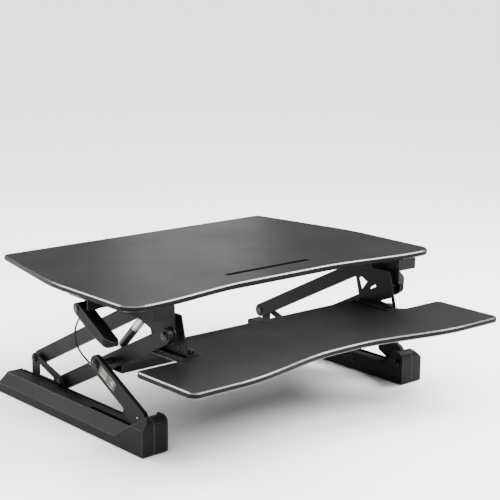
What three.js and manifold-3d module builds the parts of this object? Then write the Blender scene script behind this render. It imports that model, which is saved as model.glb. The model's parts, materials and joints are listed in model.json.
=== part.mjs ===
// Two-tier standing desk converter: a desktop board and a keyboard tray on a lifting linkage.
// Frame: X to the right, Y to the rear, Z up, in millimetres. The user stands on the -Y side.
// The origin is on the table that the converter stands on, under the middle of its outline.
// Each side is built once, as the right one, and mirrored for the left one.
//
// Linkage, seen from the side: a strut of half the lower arm's length runs from the foot's
// front pivot to the middle of the lower arm. The lower arm's rear end slides in the foot with
// the carriage, at the height of the foot's pivot, so its front end rises straight up. The
// upper arm is parallel to the lower arm and keeps the desktop level.

import * as THREE from 'three';
import { mergeVertices } from 'three/addons/utils/BufferGeometryUtils.js';
import Module from 'manifold-3d';

const wasm = await Module();
wasm.setup();

// ---------------------------------------------------------------- driving dimensions

const GAP = 0.3;
const ARC_STEPS = 8;

// Desktop board
const BOARD_THICKNESS = 13;
const BOARD_CHAMFER = 2.5;
const TOP_Z = 327;
const TOP_HALF_WIDTH = 454;
const TOP_BACK_HALF_WIDTH = 396;
const TOP_BACK_Y = 397;
const TOP_BEND_Y = 100;
const TOP_FRONT_Y = -188;
const TOP_RECESS_Y = -156;
const TOP_CORNER_R = 40;
const SLOT = { x: 8, y: -85, length: 250, width: 15, depth: 8 };

// Keyboard tray
const TRAY_Z = 201;
const TRAY_HALF_WIDTH = 454;
const TRAY_NECK_HALF_WIDTH = 327;
const TRAY_FRONT_Y = -397;
const TRAY_RECESS_Y = -350;
const TRAY_WING_BACK_Y = -207;
const TRAY_BACK_Y = -72;

// Linkage pivots at rest, as [y, z]
const LOW_PIVOT_Z = 52;
const FRONT_PIVOT_Y = -170;
const O = [FRONT_PIVOT_Y, LOW_PIVOT_Z];
const A = [214, LOW_PIVOT_Z];
const B = [FRONT_PIVOT_Y, 247];
const M = [(A[0] + B[0]) / 2, (A[1] + B[1]) / 2];
const ARM_OFFSET = [106, 34];
const A2 = [A[0] + ARM_OFFSET[0], A[1] + ARM_OFFSET[1]];
const B2 = [B[0] + ARM_OFFSET[0], B[1] + ARM_OFFSET[1]];
const SPRING_TOP = [-100, 298];
const SPRING_FOOT = [56.4, 140];
const LEVER_PIVOT = [7, 287];
const LEVER_TIP = [-100, 231];

// Planes across the converter, as distances from its middle: [near, far]
const HANGER_X = [311.5, 314.5];
const SPRING_X = 325;
const INNER_WALL_X = [335, 338.5];
const ARM_X = [340, 352];
const RAIL_X = [356, 382];
const CARRIAGE_X = [359.5, 363.5];
const STRUT_X = [384, 394];
const BRACKET_OUTER_X = 393;
const COVER_X = [396, 423];
const CAP_SEAM_X = 392;
const CAP_SEAM_GAP = 0.7;
const LEVER_X = [421, 451];
const LEVER_BRACKET_FRONT_Y = -33;
const LEVER_BRACKET_Z = 290;
const LEVER_ROOT_R = 12;
const LEVER_TIP_R = 8;
const LEVER_BELLY = 9;
const LEVER_OUTER_CORNER = 20;
const LEVER_INNER_CORNER = 6;

// Linkage sections
const ARM_R = 17;
const PLATE_R = 20;
const STRUT_R = 19.5;
const STRUT_FOOT_R = 12;
const PIN_R = 5;
const PIN_HOLE_R = 5.5;
const HEAD_R = 7.5;
const SMALL_PIN_R = 4;
const SMALL_HOLE_R = 4.5;

// Feet
const FOOT_FRONT_Y = -186.5;
const FOOT_REAR_Y = 388;
const FOOT_BLOCK_Z = 80;
const FOOT_BLOCK_REAR_Y = -165;
const FOOT_ROUND_R = 16;
const RAIL_TOP_Z = 44;
const SKIRT_TOP_Z = 22;
const LID_Z = 43;
const LID_FRONT_Y = -138;
const STRUT_SLOT_REAR_Y = 51;
const RAIL_BOTTOM_Z = 3;
const SHEET = 3;

// Top frame
const FRAME_TOP_Z = TOP_Z - BOARD_THICKNESS - GAP;
const BRACKET_BOTTOM_Z = 287;
const BRACKET_FRONT_Y = -184;
const BRACKET_REAR_Y = -48;
const CROSS_RAIL_Z = 299.3;
const TRAY_KNOB = { x: 300, y: -190, r: 9, stud: 3, hole: 3.6 };

// Gas spring
const CYLINDER_R = 9.5;
const CYLINDER_BORE_R = 7.5;
const CYLINDER_REACH = 165;
const ROD_R = 4;
const ROD_REACH = 104;

// The rod and the cylinder turn at constant ratios, so their lines part a little as the desk
// moves. Both lean by this much at rest, which halves the offset at the ends of the travel.
const SPRING_LEAN_DEGREES = 0.7;

// ---------------------------------------------------------------- solids and helpers

const FINISHES = {
  laminate: { color: 0x1b1c1f, roughness: 0.42, metalness: 0 },
  powder_coat: { color: 0x202123, roughness: 0.5, metalness: 0.2 },
  moulded_plastic: { color: 0x27282b, roughness: 0.6, metalness: 0 },
  lever_plastic: { color: 0x141416, roughness: 0.5, metalness: 0 },
  zinc_steel: { color: 0x8d9095, roughness: 0.35, metalness: 0.9 },
  dark_steel: { color: 0x2c2d30, roughness: 0.4, metalness: 0.7 },
  nylon: { color: 0xd8d8d2, roughness: 0.6, metalness: 0 },
  rubber: { color: 0x101011, roughness: 0.9, metalness: 0 },
};

const converter = new THREE.Group();

function addPiece(name, geometry, finish) {
  const mesh = new THREE.Mesh(geometry, new THREE.MeshStandardMaterial(FINISHES[finish]));
  mesh.name = name;
  converter.add(mesh);
}

// Vertices merged by position only, so that neighbouring triangles share them.
function welded(geometry) {
  const bare = geometry.index ? geometry.toNonIndexed() : geometry.clone();
  bare.deleteAttribute('normal');
  bare.deleteAttribute('uv');
  return mergeVertices(bare, 1e-4);
}

function toSolid(geometry) {
  const mesh = welded(geometry);
  return new wasm.Manifold(new wasm.Mesh({
    numProp: 3,
    vertProperties: new Float32Array(mesh.attributes.position.array),
    triVerts: new Uint32Array(mesh.index.array),
  }));
}

function fromSolid(solid) {
  const mesh = solid.getMesh();
  const geometry = new THREE.BufferGeometry();
  geometry.setAttribute('position', new THREE.BufferAttribute(mesh.vertProperties, 3));
  geometry.setIndex(new THREE.BufferAttribute(mesh.triVerts, 1));
  return geometry;
}

// Joins the first list of geometries and cuts the second list from the result.
function combine(joined, cut = []) {
  let solid = joined.map(toSolid).reduce((sum, next) => sum.add(next));
  for (const tool of cut) solid = solid.subtract(toSolid(tool));
  return fromSolid(solid);
}

function common(first, second) {
  return fromSolid(toSolid(first).intersect(toSolid(second)));
}

// The same geometry on the other side of the X = 0 plane, with its faces still outward.
function mirrored(geometry) {
  const flipped = welded(geometry);
  flipped.scale(-1, 1, 1);
  const index = flipped.index.array;
  for (let i = 0; i < index.length; i += 3) {
    [index[i + 1], index[i + 2]] = [index[i + 2], index[i + 1]];
  }
  return flipped;
}

const X_AXIS = new THREE.Vector3(1, 0, 0);
const Y_AXIS = new THREE.Vector3(0, 1, 0);
const Z_AXIS = new THREE.Vector3(0, 0, 1);

function prism(shape, depth, basis, origin) {
  const geometry = new THREE.ExtrudeGeometry(shape, {
    depth, bevelEnabled: false, curveSegments: ARC_STEPS,
  });
  geometry.applyMatrix4(new THREE.Matrix4().makeBasis(...basis).setPosition(origin));
  return geometry;
}

// A side view (y, z) swept across X.
function sweepX(shape, [x0, x1]) {
  return prism(shape, x1 - x0, [Y_AXIS, Z_AXIS, X_AXIS], new THREE.Vector3(x0, 0, 0));
}

// A front view (x, z) swept along Y.
function sweepY(shape, [y0, y1]) {
  const basis = [X_AXIS, Z_AXIS, Y_AXIS.clone().negate()];
  return prism(shape, y1 - y0, basis, new THREE.Vector3(0, y1, 0));
}

// A top view (x, y) swept along Z.
function sweepZ(shape, [z0, z1]) {
  return prism(shape, z1 - z0, [X_AXIS, Y_AXIS, Z_AXIS], new THREE.Vector3(0, 0, z0));
}

function polygon(points) {
  return new THREE.Shape(points.map(([u, v]) => new THREE.Vector2(u, v)));
}

function box([x0, x1], [y0, y1], [z0, z1]) {
  const geometry = new THREE.BoxGeometry(x1 - x0, y1 - y0, z1 - z0);
  geometry.translate((x0 + x1) / 2, (y0 + y1) / 2, (z0 + z1) / 2);
  return geometry;
}

function punch(shape, [u, v], radius) {
  const hole = new THREE.Path();
  hole.absarc(u, v, radius, 0, 2 * Math.PI, true);
  shape.holes.push(hole);
}

// A bar with a round end of its own radius at each of two points, in a side view.
function barShape(p, q, rp, rq) {
  const dy = q[0] - p[0];
  const dz = q[1] - p[1];
  const length = Math.hypot(dy, dz);
  const heading = Math.atan2(dz, dy);
  const lean = Math.acos((rp - rq) / length);
  const shape = new THREE.Shape();
  shape.absarc(p[0], p[1], rp, heading + lean, heading + 2 * Math.PI - lean, false);
  shape.absarc(q[0], q[1], rq, heading - lean, heading + lean, false);
  return shape;
}

// A turned piece along X. Its profile is a list of [x, radius], and starts and ends at radius 0.
function turned(profile, [y, z], segments = 16) {
  const points = profile.map(([x, r]) => new THREE.Vector2(r, x));
  const geometry = new THREE.LatheGeometry(points, segments);
  geometry.rotateZ(-Math.PI / 2);
  geometry.translate(0, y, z);
  return geometry;
}

// A headed pin: a shank from x0 to x1, with a chamfered head at its outer end.
function headedPin([x0, x1], radius, headRadius, headHeight, centre) {
  const chamfer = Math.min(1, headHeight / 3);
  return turned([
    [x0, 0],
    [x0, radius],
    [x1, radius],
    [x1, headRadius],
    [x1 + headHeight - chamfer, headRadius],
    [x1 + headHeight, headRadius - chamfer],
    [x1 + headHeight, 0],
  ], centre);
}

const smoothStep = (t) => t * t * (3 - 2 * t);
const clamp01 = (t) => Math.min(1, Math.max(0, t));

// A closed outline from the points of its right half, front middle to back middle.
function symmetricShape(rightHalf) {
  const leftHalf = rightHalf.slice(1, -1).reverse().map(([x, y]) => [-x, y]);
  return polygon([...rightHalf, ...leftHalf]);
}

function arcPoints(cx, cy, radius, fromDegrees, toDegrees, steps) {
  const points = [];
  for (let i = 0; i <= steps; i += 1) {
    const angle = THREE.MathUtils.degToRad(fromDegrees + ((toDegrees - fromDegrees) * i) / steps);
    points.push([cx + radius * Math.cos(angle), cy + radius * Math.sin(angle)]);
  }
  return points;
}

// A front edge that swings from its recess in the middle to its tips, in equal steps.
function frontWave(recessY, tipY, waveStart, waveEnd, lastX, steps) {
  const points = [];
  for (let i = 0; i < steps; i += 1) {
    const x = (lastX * i) / steps;
    const t = smoothStep(clamp01((x - waveStart) / (waveEnd - waveStart)));
    points.push([x, recessY + (tipY - recessY) * t]);
  }
  return points;
}

// A board with chamfered edges between z0 and z1.
function board(shape, z0, z1) {
  const geometry = new THREE.ExtrudeGeometry(shape, {
    depth: z1 - z0 - 2 * BOARD_CHAMFER,
    bevelThickness: BOARD_CHAMFER,
    bevelSize: BOARD_CHAMFER,
    bevelOffset: -BOARD_CHAMFER,
    bevelSegments: 1,
    curveSegments: 6,
  });
  geometry.translate(0, 0, z0 + BOARD_CHAMFER);
  return geometry;
}

// ---------------------------------------------------------------- boards

function desktopOutline() {
  const cornerX = TOP_HALF_WIDTH - TOP_CORNER_R;
  const slope = (TOP_HALF_WIDTH - TOP_BACK_HALF_WIDTH) / (TOP_BACK_Y - TOP_BEND_Y);
  const bendReach = 40;
  const backCorner = 12;
  return symmetricShape([
    ...frontWave(TOP_RECESS_Y, TOP_FRONT_Y, 110, 400, cornerX, 22),
    ...arcPoints(cornerX, TOP_FRONT_Y + TOP_CORNER_R, TOP_CORNER_R, -90, 0, 8),
    [TOP_HALF_WIDTH, TOP_BEND_Y - bendReach],
    [TOP_HALF_WIDTH - (slope * bendReach) / 4, TOP_BEND_Y],
    [TOP_HALF_WIDTH - slope * bendReach, TOP_BEND_Y + bendReach],
    ...arcPoints(TOP_BACK_HALF_WIDTH + 1 - backCorner, TOP_BACK_Y - backCorner, backCorner, 10, 90, 4),
    [0, TOP_BACK_Y],
  ]);
}

function tabletSlot() {
  const half = SLOT.length / 2 - SLOT.width / 2;
  const shape = new THREE.Shape();
  shape.absarc(SLOT.x + half, SLOT.y, SLOT.width / 2, -Math.PI / 2, Math.PI / 2, false);
  shape.absarc(SLOT.x - half, SLOT.y, SLOT.width / 2, Math.PI / 2, (3 * Math.PI) / 2, false);
  const geometry = new THREE.ExtrudeGeometry(shape, {
    depth: SLOT.depth + 5, bevelEnabled: false, curveSegments: 5,
  });
  geometry.translate(0, 0, TOP_Z - SLOT.depth);
  return geometry;
}

function trayOutline() {
  const tipR = 16;
  const rearR = 11;
  const filletR = 18;
  const neckR = 12;
  return symmetricShape([
    ...frontWave(TRAY_RECESS_Y, TRAY_FRONT_Y, 30, 335, TRAY_HALF_WIDTH - tipR, 20),
    ...arcPoints(TRAY_HALF_WIDTH - tipR, TRAY_FRONT_Y + tipR, tipR, -90, 0, 6),
    ...arcPoints(TRAY_HALF_WIDTH - rearR, TRAY_WING_BACK_Y - rearR, rearR, 0, 90, 4),
    ...arcPoints(TRAY_NECK_HALF_WIDTH + filletR, TRAY_WING_BACK_Y + filletR, filletR, 270, 180, 4),
    ...arcPoints(TRAY_NECK_HALF_WIDTH - neckR, TRAY_BACK_Y - neckR, neckR, 0, 90, 4),
    [0, TRAY_BACK_Y],
  ]);
}

function addBoards() {
  const desktop = board(desktopOutline(), TOP_Z - BOARD_THICKNESS, TOP_Z);
  addPiece('desktop', combine([desktop], [tabletSlot()]), 'laminate');
  const tray = trayOutline();
  for (const side of [-1, 1]) punch(tray, [side * TRAY_KNOB.x, TRAY_KNOB.y], TRAY_KNOB.hole);
  addPiece('keyboard_tray', board(tray, TRAY_Z - BOARD_THICKNESS, TRAY_Z), 'laminate');
}

// ---------------------------------------------------------------- feet

// The rounded front of a foot in a side view, inset by the thickness of a wall.
function footFront(inset) {
  const front = FOOT_FRONT_Y + inset;
  const radius = FOOT_ROUND_R - inset;
  return arcPoints(front + radius, FOOT_BLOCK_Z - FOOT_ROUND_R, radius, 180, 90, 5);
}

// The bent strip that closes a foot's front and top.
function frontStrip() {
  return polygon([
    [FOOT_FRONT_Y, 2],
    ...footFront(0),
    [FOOT_BLOCK_REAR_Y, FOOT_BLOCK_Z],
    [FOOT_BLOCK_REAR_Y, FOOT_BLOCK_Z - SHEET],
    ...footFront(SHEET).reverse(),
    [FOOT_FRONT_Y + SHEET, 2],
  ].reverse());
}

function footRail() {
  const [x0, x1] = RAIL_X;
  const rearY = FOOT_REAR_Y - SHEET - GAP;
  const innerWall = polygon([
    [FOOT_FRONT_Y, RAIL_BOTTOM_Z],
    [rearY, RAIL_BOTTOM_Z],
    [rearY, RAIL_TOP_Z - 4],
    [rearY - 8, RAIL_TOP_Z],
    [-132, RAIL_TOP_Z],
    [-154, FOOT_BLOCK_Z],
    ...footFront(0).reverse(),
  ]);
  const outerWall = polygon([
    [FOOT_FRONT_Y + SHEET + GAP, RAIL_BOTTOM_Z],
    [rearY, RAIL_BOTTOM_Z],
    [rearY, LID_Z],
    [-140, LID_Z],
    [-152, 66],
    [FOOT_FRONT_Y + SHEET + GAP, 66],
  ]);
  punch(innerWall, O, PIN_HOLE_R);
  punch(outerWall, O, PIN_HOLE_R);
  const baseY = [FOOT_FRONT_Y + SHEET + GAP, rearY];
  const base = box([x0, COVER_X[1] - SHEET - GAP], baseY, [RAIL_BOTTOM_Z, RAIL_BOTTOM_Z + SHEET]);
  const lidX = [CARRIAGE_X[1] + 0.7, x1];
  return combine([
    base,
    box(lidX, [LID_FRONT_Y, rearY], [LID_Z - 2.5, LID_Z]),
    sweepX(innerWall, [x0, x0 + SHEET]),
    sweepX(outerWall, [x1 - SHEET, x1]),
  ]);
}

function footCover() {
  const [x0, x1] = COVER_X;
  const shoulder = (inset) => polygon([
    [inset ? x0 - 5 : x0, inset ? -1 : 1.5],
    [x1 - inset, inset ? -1 : 1.5],
    [x1 - inset, SKIRT_TOP_Z - inset * 0.5],
    [x0, RAIL_TOP_Z - inset * 1.25],
    ...(inset ? [[x0 - 5, RAIL_TOP_Z - inset * 1.25]] : []),
  ]);
  const block = (inset) => polygon([
    [FOOT_FRONT_Y + inset, inset ? -1 : 1.5],
    [-84, inset ? -1 : 1.5],
    [-84, SKIRT_TOP_Z - inset * 0.5],
    [-157, 70 - inset],
    [FOOT_BLOCK_REAR_Y, FOOT_BLOCK_Z - inset],
    ...footFront(inset).reverse(),
  ]);
  const blockFace = (inset) => polygon([
    [x0 - 10, -2],
    [x1 - inset, -2],
    [x1 - inset, 60 - inset * 0.5],
    [404 - inset * 0.5, FOOT_BLOCK_Z - inset],
    [x0 - 10, FOOT_BLOCK_Z - inset],
  ]);
  const blockY = [FOOT_FRONT_Y - 1, -60];
  const outerBlock = common(
    sweepX(block(0), [x0, x1]),
    sweepY(blockFace(0), blockY),
  );
  const innerBlock = common(
    sweepX(block(SHEET), [x0 - 5, x1 - SHEET]),
    sweepY(blockFace(SHEET), blockY),
  );
  const rearWall = polygon([
    [RAIL_X[0], 1.5],
    [x1, 1.5],
    [x1, SKIRT_TOP_Z],
    [x0, RAIL_TOP_Z],
    [RAIL_X[0], RAIL_TOP_Z],
  ]);
  const outer = fromSolid(
    toSolid(sweepY(shoulder(0), [-150, FOOT_REAR_Y])).add(toSolid(outerBlock)),
  );
  const hollow = fromSolid(
    toSolid(sweepY(shoulder(SHEET), [-170, FOOT_REAR_Y - SHEET])).add(toSolid(innerBlock)),
  );
  const shell = combine([outer], [hollow]);
  return combine([
    shell,
    sweepX(frontStrip(), [CAP_SEAM_X + CAP_SEAM_GAP, x0 + SHEET]),
    sweepY(rearWall, [FOOT_REAR_Y - SHEET, FOOT_REAR_Y]),
    box([RAIL_X[1] + GAP, x0 + SHEET], [STRUT_SLOT_REAR_Y, FOOT_REAR_Y], [RAIL_TOP_Z - SHEET, RAIL_TOP_Z]),
  ]);
}

function footPads() {
  const padAt = (y) => {
    const geometry = new THREE.CylinderGeometry(11, 12, RAIL_BOTTOM_Z - GAP, 16);
    geometry.rotateX(Math.PI / 2);
    geometry.translate(372, y, (RAIL_BOTTOM_Z - GAP) / 2);
    return geometry;
  };
  return [padAt(-150), padAt(350)];
}

// ---------------------------------------------------------------- linkage

function armShape(p, q, holes) {
  const shape = barShape(p, q, ARM_R, ARM_R);
  for (const [centre, radius] of holes) punch(shape, centre, radius);
  return shape;
}

function strut() {
  const rise = M[1] - O[1];
  const run = M[0] - O[0];
  const length = Math.hypot(rise, run);
  const at = (along, side) => [
    O[0] + (run * along - rise * side) / length,
    O[1] + (rise * along + run * side) / length,
  ];
  const heading = Math.atan2(rise, run);
  const shape = new THREE.Shape();
  shape.absarc(M[0], M[1], STRUT_R, heading - Math.PI / 2, heading + Math.PI / 2, false);
  shape.lineTo(...at(32, STRUT_R));
  shape.lineTo(...at(16, 13));
  shape.absarc(O[0], O[1], STRUT_FOOT_R, heading + Math.PI * 0.6, heading + Math.PI * 1.4, false);
  for (const [along, side] of [[45, -32], [84, -32], [89, -28], [91, -STRUT_R]]) {
    shape.lineTo(...at(along, side));
  }
  punch(shape, M, PIN_HOLE_R);
  punch(shape, O, PIN_HOLE_R);
  return sweepX(shape, STRUT_X);
}

function carriage() {
  const shape = new THREE.Shape();
  shape.moveTo(198, 6);
  shape.lineTo(332, 6);
  shape.lineTo(332, A2[1] - 6);
  shape.absarc(A2[0], A2[1], 13, -0.3, 2.05, false);
  shape.absarc(A[0], A[1], 16, 1.85, Math.PI, false);
  punch(shape, A, PIN_HOLE_R);
  punch(shape, A2, PIN_HOLE_R);
  const window = new THREE.Path();
  window.moveTo(303, 50);
  window.lineTo(239, 50);
  window.lineTo(239, 58);
  window.lineTo(303, 79);
  shape.holes.push(window);
  return sweepX(shape, CARRIAGE_X);
}

function glideBlock() {
  const shape = new THREE.Shape();
  const [y0, y1, z0, z1, r] = [204, 326, 6.5, 33, 6];
  shape.moveTo(y0 + r, z0);
  shape.lineTo(y1 - r, z0);
  shape.lineTo(y1, z0 + r);
  shape.lineTo(y1, z1 - r);
  shape.lineTo(y1 - r, z1);
  shape.lineTo(y0 + r, z1);
  shape.lineTo(y0, z1 - r);
  shape.lineTo(y0, z0 + r);
  return sweepX(shape, [CARRIAGE_X[1] + GAP, RAIL_X[1] - SHEET - 0.5]);
}

// The middle pivot: a pin whose thick waist holds the strut off the arm.
function middlePin() {
  return turned([
    [ARM_X[0] - 3.3, 0],
    [ARM_X[0] - 3.3, HEAD_R],
    [ARM_X[0] - GAP, HEAD_R],
    [ARM_X[0] - GAP, PIN_R],
    [ARM_X[1] + GAP, PIN_R],
    [ARM_X[1] + GAP, HEAD_R],
    [STRUT_X[0] - GAP, HEAD_R],
    [STRUT_X[0] - GAP, PIN_R],
    [STRUT_X[1] + GAP, PIN_R],
    [STRUT_X[1] + GAP, HEAD_R],
    [STRUT_X[1] + 3, HEAD_R],
    [STRUT_X[1] + 4, HEAD_R - 1],
    [STRUT_X[1] + 4, 0],
  ], M);
}

// A rear pivot: an arm on one end, the carriage plate on the other, and a collar between.
function carriagePin(centre) {
  return turned([
    [ARM_X[0] - 2.8, 0],
    [ARM_X[0] - 2.8, HEAD_R],
    [ARM_X[0] - GAP, HEAD_R],
    [ARM_X[0] - GAP, PIN_R],
    [ARM_X[1] + GAP, PIN_R],
    [ARM_X[1] + GAP, HEAD_R],
    [CARRIAGE_X[0] - GAP, HEAD_R],
    [CARRIAGE_X[0] - GAP, PIN_R],
    [CARRIAGE_X[1] + GAP, PIN_R],
    [CARRIAGE_X[1] + GAP, HEAD_R],
    [CARRIAGE_X[1] + 3, HEAD_R],
    [CARRIAGE_X[1] + 4, HEAD_R - 1],
    [CARRIAGE_X[1] + 4, 0],
  ], centre);
}

function crossTube() {
  const half = ARM_X[0] - GAP;
  const shape = polygon([[0, 122], [42, 122], [42, 140], [0, 140]]);
  const bore = new THREE.Path();
  bore.setFromPoints([[2.5, 124.5], [2.5, 137.5], [39.5, 137.5], [39.5, 124.5]]
    .map(([u, v]) => new THREE.Vector2(u, v)));
  shape.holes.push(bore);
  return sweepX(shape, [-half, half]);
}

// ---------------------------------------------------------------- top frame

function topBracket() {
  const [wall0, wall1] = INNER_WALL_X;
  const plate = new THREE.Shape();
  plate.moveTo(BRACKET_FRONT_Y, FRAME_TOP_Z);
  plate.lineTo(BRACKET_FRONT_Y, B[1] + 14);
  plate.absarc(B[0], B[1], PLATE_R, Math.PI * 0.8, Math.PI * 1.6, false);
  plate.absarc(B2[0], B2[1], PLATE_R, -Math.PI * 0.4, 0, false);
  plate.lineTo(BRACKET_REAR_Y, FRAME_TOP_Z);
  punch(plate, B, PIN_HOLE_R);
  punch(plate, B2, PIN_HOLE_R);
  punch(plate, SPRING_TOP, SMALL_HOLE_R);
  const spanX = [wall0, BRACKET_OUTER_X];
  const spanY = [BRACKET_FRONT_Y, BRACKET_REAR_Y];
  const outerX = [BRACKET_OUTER_X - SHEET, BRACKET_OUTER_X];
  const frontY = [BRACKET_FRONT_Y, BRACKET_FRONT_Y + SHEET];
  return combine([
    sweepX(plate, [wall0, wall1]),
    box(outerX, spanY, [BRACKET_BOTTOM_Z, FRAME_TOP_Z]),
    box(spanX, frontY, [BRACKET_BOTTOM_Z, FRAME_TOP_Z]),
    box(spanX, spanY, [FRAME_TOP_Z - SHEET, FRAME_TOP_Z]),
  ]);
}

function trayHanger() {
  const [x0, x1] = HANGER_X;
  const bottomZ = TRAY_Z + GAP;
  const topZ = CROSS_RAIL_Z - GAP;
  const inwardX = 284;
  const [flangeFront, flangeRear] = [-116, -64];
  const plate = polygon([
    [-200, bottomZ],
    [-80, bottomZ],
    [-64, 262],
    [flangeRear, topZ],
    [flangeFront, topZ],
    [-122, 288],
    [-177, 288],
  ]);
  const windows = [
    [[-150, 211], [-189, 208], [-185, 226], [-156, 214]],
    [[-111, 229], [-121, 228], [-135, 243], [-132, 249], [-117, 240]],
    [[-86, 227], [-104, 250], [-84, 260], [-76, 254]],
  ];
  for (const corners of windows) {
    plate.holes.push(new THREE.Path(corners.map(([u, v]) => new THREE.Vector2(u, v))));
  }
  const flange = box([inwardX, x1], [-200, -80], [bottomZ, bottomZ + SHEET]);
  const stud = new THREE.CylinderGeometry(TRAY_KNOB.hole, TRAY_KNOB.hole, 20, 16);
  stud.rotateX(Math.PI / 2);
  stud.translate(TRAY_KNOB.x, TRAY_KNOB.y, bottomZ);
  return combine([
    sweepX(plate, [x0, x1]),
    flange,
    box([inwardX, x1], [flangeFront, flangeRear], [topZ - SHEET, topZ]),
  ], [stud]);
}

function trayKnob() {
  const z0 = TRAY_Z + GAP + SHEET + GAP;
  const { r, stud, x, y } = TRAY_KNOB;
  const profile = [
    [0, TRAY_Z - BOARD_THICKNESS - 3],
    [stud, TRAY_Z - BOARD_THICKNESS - 3],
    [stud, z0],
    [r - 1, z0],
    [r, z0 + 1.5],
    [r, z0 + 9],
    [r - 2, z0 + 11],
    [0, z0 + 11],
  ];
  const geometry = new THREE.LatheGeometry(profile.map((p) => new THREE.Vector2(...p)), 16);
  geometry.rotateX(Math.PI / 2);
  geometry.translate(x, y, 0);
  return geometry;
}

function crossRail(y0, y1) {
  const half = HANGER_X[1] - 0.5;
  return box([-half, half], [y0, y1], [CROSS_RAIL_Z, FRAME_TOP_Z]);
}

// ---------------------------------------------------------------- gas spring

const springRun = [SPRING_FOOT[0] - SPRING_TOP[0], SPRING_FOOT[1] - SPRING_TOP[1]];

// Lays a piece that was made along +Y from the origin on the line from one pivot to the other.
function layOnSpring(geometry, [y, z], direction) {
  const heading = Math.atan2(springRun[1] * direction, springRun[0] * direction);
  geometry.rotateX(heading + THREE.MathUtils.degToRad(SPRING_LEAN_DEGREES));
  geometry.translate(SPRING_X, y, z);
  return geometry;
}

function lathe(profile, segments) {
  return new THREE.LatheGeometry(profile.map(([r, y]) => new THREE.Vector2(r, y)), segments);
}

// A flat eye around a pivot, as thick as [x0, x1] says, with a tongue towards +Y.
function eye(radius, halfWidth) {
  const shape = barShape([0, 0], [16, 0], radius, 6);
  punch(shape, [0, 0], SMALL_HOLE_R);
  return sweepX(shape, [-halfWidth, halfWidth]);
}

function gasCylinder() {
  const tube = lathe([
    [0, 13],
    [CYLINDER_R - 1.5, 13],
    [CYLINDER_R, 15],
    [CYLINDER_R, CYLINDER_REACH - 1],
    [CYLINDER_R - 0.4, CYLINDER_REACH],
    [CYLINDER_BORE_R, CYLINDER_REACH],
    [CYLINDER_BORE_R, 26],
    [0, 26],
  ], 24);
  return layOnSpring(combine([tube, eye(8, 4)]), SPRING_TOP, 1);
}

function gasRod() {
  const rod = lathe([
    [0, 12],
    [ROD_R, 12],
    [ROD_R, ROD_REACH - 1],
    [ROD_R - 1, ROD_REACH],
    [0, ROD_REACH],
  ], 12);
  return layOnSpring(combine([rod, eye(8, 4)]), SPRING_FOOT, -1);
}

// ---------------------------------------------------------------- release lever

// The lever's side view, with a belly on its underside.
function leverSide() {
  const [pivotY, pivotZ] = LEVER_PIVOT;
  const [tipY, tipZ] = LEVER_TIP;
  const heading = Math.atan2(tipZ - pivotZ, tipY - pivotY);
  const lean = Math.acos((LEVER_ROOT_R - LEVER_TIP_R) / Math.hypot(tipY - pivotY, tipZ - pivotZ));
  const under = heading + lean;
  const start = [pivotY + LEVER_ROOT_R * Math.cos(under), pivotZ + LEVER_ROOT_R * Math.sin(under)];
  const end = [tipY + LEVER_TIP_R * Math.cos(under), tipZ + LEVER_TIP_R * Math.sin(under)];
  const bellyY = (start[0] + end[0]) / 2 + LEVER_BELLY * Math.cos(under);
  const bellyZ = (start[1] + end[1]) / 2 + LEVER_BELLY * Math.sin(under);
  const shape = new THREE.Shape();
  shape.absarc(pivotY, pivotZ, LEVER_ROOT_R, under, under + 2 * (Math.PI - lean), false);
  shape.absarc(tipY, tipZ, LEVER_TIP_R, heading - lean, under, false);
  shape.quadraticCurveTo(bellyY, bellyZ, start[0], start[1]);
  punch(shape, LEVER_PIVOT, SMALL_HOLE_R);
  return shape;
}

// The lever's top view (x, y), with its tip rounded more on the outer side.
function leverPlan() {
  const [x0, x1] = LEVER_X;
  const frontY = LEVER_TIP[0] - LEVER_TIP_R;
  const rearY = LEVER_PIVOT[0] + LEVER_ROOT_R + 1;
  const shape = new THREE.Shape();
  shape.moveTo(x1, rearY);
  shape.lineTo(x0, rearY);
  shape.lineTo(x0, frontY + LEVER_INNER_CORNER);
  shape.absarc(x0 + LEVER_INNER_CORNER, frontY + LEVER_INNER_CORNER, LEVER_INNER_CORNER,
    Math.PI, 1.5 * Math.PI, false);
  shape.absarc(x1 - LEVER_OUTER_CORNER, frontY + LEVER_OUTER_CORNER, LEVER_OUTER_CORNER,
    1.5 * Math.PI, 2 * Math.PI, false);
  shape.closePath();
  return shape;
}

function releaseLever() {
  const zRange = [LEVER_TIP[1] - 30, LEVER_PIVOT[1] + LEVER_ROOT_R + 1];
  return common(sweepX(leverSide(), LEVER_X), sweepZ(leverPlan(), zRange));
}

function leverBracket() {
  const [pivotY, pivotZ] = LEVER_PIVOT;
  const ear = polygon([
    [pivotY + 14, FRAME_TOP_Z],
    [LEVER_BRACKET_FRONT_Y, FRAME_TOP_Z],
    [LEVER_BRACKET_FRONT_Y, LEVER_BRACKET_Z],
    [pivotY - 10, pivotZ - 9],
    [pivotY + 2, pivotZ - 12],
    [pivotY + 14, pivotZ - 2],
  ]);
  punch(ear, LEVER_PIVOT, SMALL_HOLE_R);
  const plateX = [BRACKET_OUTER_X + 4, LEVER_X[1] - 2];
  const frontY = [LEVER_BRACKET_FRONT_Y, LEVER_BRACKET_FRONT_Y + SHEET];
  return combine([
    sweepX(ear, [LEVER_X[0] - 5, LEVER_X[0] - 1]),
    box(plateX, frontY, [LEVER_BRACKET_Z, FRAME_TOP_Z]),
    box(plateX, [LEVER_BRACKET_FRONT_Y, 36], [FRAME_TOP_Z - SHEET, FRAME_TOP_Z]),
  ]);
}

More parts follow.
